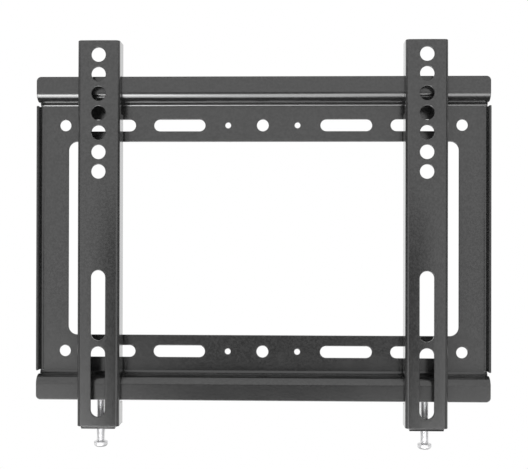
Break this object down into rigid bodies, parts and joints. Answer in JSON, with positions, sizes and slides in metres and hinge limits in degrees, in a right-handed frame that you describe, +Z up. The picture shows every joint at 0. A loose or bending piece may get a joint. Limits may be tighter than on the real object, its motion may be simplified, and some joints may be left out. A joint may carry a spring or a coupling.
{
  "type": "fixed television wall bracket",
  "caption": "Slim fixed television wall bracket: a windowed sheet steel wall plate with stepped lips, sliding hook-on channel arms and a lock screw at each arm's foot.",
  "frame": {"origin": "middle of the wall plate's back face, on the wall, at the centre of the four corner wall holes", "axes": "+X to the right of a viewer who faces the bracket, +Y into the wall, +Z up"},
  "size_m": [0.282, 0.0182, 0.2501],
  "materials": {
    "black_powder_coat": "satin black powder coat with a fine texture",
    "zinc_plate": "bright zinc plate"
  },
  "bodies": {
    "wall_plate": {"wall_plate": "black_powder_coat"},
    "left_arm": {"left_arm": "black_powder_coat"},
    "left_lock_screw": {"left_lock_screw": "zinc_plate"},
    "right_arm": {"right_arm": "black_powder_coat"},
    "right_lock_screw": {"right_lock_screw": "zinc_plate"}
  },
  "joints": [
    {"name": "left_arm_slide", "type": "slide", "parent": "wall_plate", "child": "left_arm", "axis": [1, 0, 0], "range_m": [-0.0262, 0.0867]},
    {"name": "left_lock_screw_travel", "type": "slide", "parent": "left_arm", "child": "left_lock_screw", "axis": [0, 0, 1], "range_m": [-0.0155, 0.0075]},
    {"name": "right_arm_slide", "type": "slide", "parent": "wall_plate", "child": "right_arm", "axis": [-1, 0, 0], "range_m": [-0.0262, 0.0867]},
    {"name": "right_lock_screw_travel", "type": "slide", "parent": "right_arm", "child": "right_lock_screw", "axis": [0, 0, 1], "range_m": [-0.0155, 0.0075]}
  ]
}
